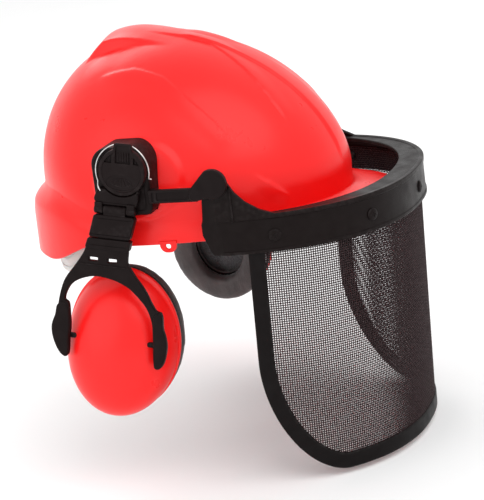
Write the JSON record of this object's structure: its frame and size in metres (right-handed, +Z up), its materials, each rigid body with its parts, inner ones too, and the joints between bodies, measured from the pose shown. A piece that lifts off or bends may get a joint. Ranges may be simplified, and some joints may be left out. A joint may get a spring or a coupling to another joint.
{
  "type": "forestry helmet",
  "caption": "Hard hat with a hinged wire-mesh face visor and spring-armed ear muffs that swing, flip, slide and tilt, over a webbing harness with a ratchet headband.",
  "frame": {"origin": "centre of the crown pad's flat underside, where the helmet rests on the head", "axes": "+Z up, -Y to the front (the visor's side), +X to the wearer's left"},
  "size_m": [0.3243, 0.3015, 0.3168],
  "materials": {
    "shell_red": "glossy moulded, fine scuffs",
    "arm_black": "satin moulded",
    "spring_steel": "bright drawn wire",
    "mesh_black": "black-coated woven steel wire",
    "harness_white": "translucent flexible moulding",
    "webbing": "woven webbing",
    "foam": "open-cell foam with a brushed face",
    "cushion_skin": "soft smooth skin over foam"
  },
  "bodies": {
    "helmet": {"shell": "shell_red", "headband": "harness_white", "sweatband": "foam", "crown_pad": "foam", "crown_strap_across": "webbing", "crown_strap_front_left": "webbing", "crown_strap_front_right": "webbing", "harness_clip_1a": "harness_white", "harness_clip_1b": "harness_white", "harness_clip_2a": "harness_white", "harness_clip_2b": "harness_white", "harness_clip_3a": "harness_white", "harness_clip_3b": "harness_white", "adapter_right": "arm_black", "adapter_left": "arm_black", "visor_link_right": "arm_black", "visor_link_left": "arm_black", "visor_pin_right": "arm_black", "visor_pin_left": "arm_black"},
    "visor": {"visor_frame": "arm_black", "visor_mesh": "mesh_black", "visor_trim": "arm_black", "visor_stud_1": "arm_black", "visor_stud_2": "arm_black", "visor_stud_3": "arm_black", "visor_stud_4": "arm_black", "visor_stud_5": "arm_black"},
    "nape": {"nape_strap": "harness_white", "ratchet_housing": "harness_white"},
    "knob": {"ratchet_knob": "arm_black", "ratchet_pinion": "harness_white"},
    "arm_right": {"pivot_disc_right": "arm_black", "spring_wire_right": "spring_steel", "arm_hub_right": "arm_black", "flip_pin_right": "spring_steel"},
    "sleeve_right": {"arm_sleeve_right": "arm_black"},
    "fork_right": {"yoke_right": "arm_black", "cup_pin_front_right": "arm_black", "cup_pin_rear_right": "arm_black"},
    "cup_right": {"cup_shell_right": "shell_red", "cup_foam_right": "foam", "cup_plate_right": "arm_black", "cushion_right": "cushion_skin"},
    "arm_left": {"pivot_disc_left": "arm_black", "spring_wire_left": "spring_steel", "arm_hub_left": "arm_black", "flip_pin_left": "spring_steel"},
    "sleeve_left": {"arm_sleeve_left": "arm_black"},
    "fork_left": {"yoke_left": "arm_black", "cup_pin_front_left": "arm_black", "cup_pin_rear_left": "arm_black"},
    "cup_left": {"cup_shell_left": "shell_red", "cup_foam_left": "foam", "cup_plate_left": "arm_black", "cushion_left": "cushion_skin"}
  },
  "joints": [
    {"name": "visor_swing", "type": "hinge", "parent": "helmet", "child": "visor", "pos_m": [0, -0.057, -0.051], "axis": [-1, 0, 0], "range_deg": [0, 90]},
    {"name": "muff_swing_right", "type": "hinge", "parent": "helmet", "child": "arm_right", "pos_m": [0, 0.0086, -0.0396], "axis": [1, 0, 0], "range_deg": [-8, 10]},
    {"name": "muff_flip_right", "type": "hinge", "parent": "arm_right", "child": "sleeve_right", "pos_m": [-0.1255, 0.01882, -0.06637], "axis": [0, 0.9888, 0.1495], "range_deg": [-2.5, 32]},
    {"name": "muff_slide_right", "type": "slide", "parent": "sleeve_right", "child": "fork_right", "axis": [-0.0436, 0.1494, -0.9878], "range_m": [0, 0.01]},
    {"name": "cup_tilt_right", "type": "hinge", "parent": "fork_right", "child": "cup_right", "pos_m": [-0.12527, 0.03344, -0.16308], "axis": [0, 0.9888, 0.1495], "range_deg": [-10, 10]},
    {"name": "muff_swing_left", "type": "hinge", "parent": "helmet", "child": "arm_left", "pos_m": [0, 0.0086, -0.0396], "axis": [1, 0, 0], "range_deg": [-9, 10]},
    {"name": "muff_flip_left", "type": "hinge", "parent": "arm_left", "child": "sleeve_left", "pos_m": [0.1255, 0.01947, -0.06612], "axis": [0, -0.9848, -0.1736], "range_deg": [-27, 7]},
    {"name": "muff_slide_left", "type": "slide", "parent": "sleeve_left", "child": "fork_left", "axis": [0.454, 0.1547, -0.8775], "range_m": [0, 0.01]},
    {"name": "cup_tilt_left", "type": "hinge", "parent": "fork_left", "child": "cup_left", "pos_m": [0.16585, 0.03494, -0.15386], "axis": [0, -0.9848, -0.1736], "range_deg": [-14, 6]},
    {"name": "nape_slide", "type": "slide", "parent": "helmet", "child": "nape", "axis": [0, -1, 0], "range_m": [-0.003, 0.012]},
    {"name": "ratchet_turn", "type": "hinge", "parent": "nape", "child": "knob", "pos_m": [0, 0.112, -0.119], "axis": [0, 1, 0], "range_deg": [-30, 120]}
  ],
  "couplings": [
    {"joint": "ratchet_turn", "follows": "nape_slide", "rad_per_m": 166.67}
  ]
}
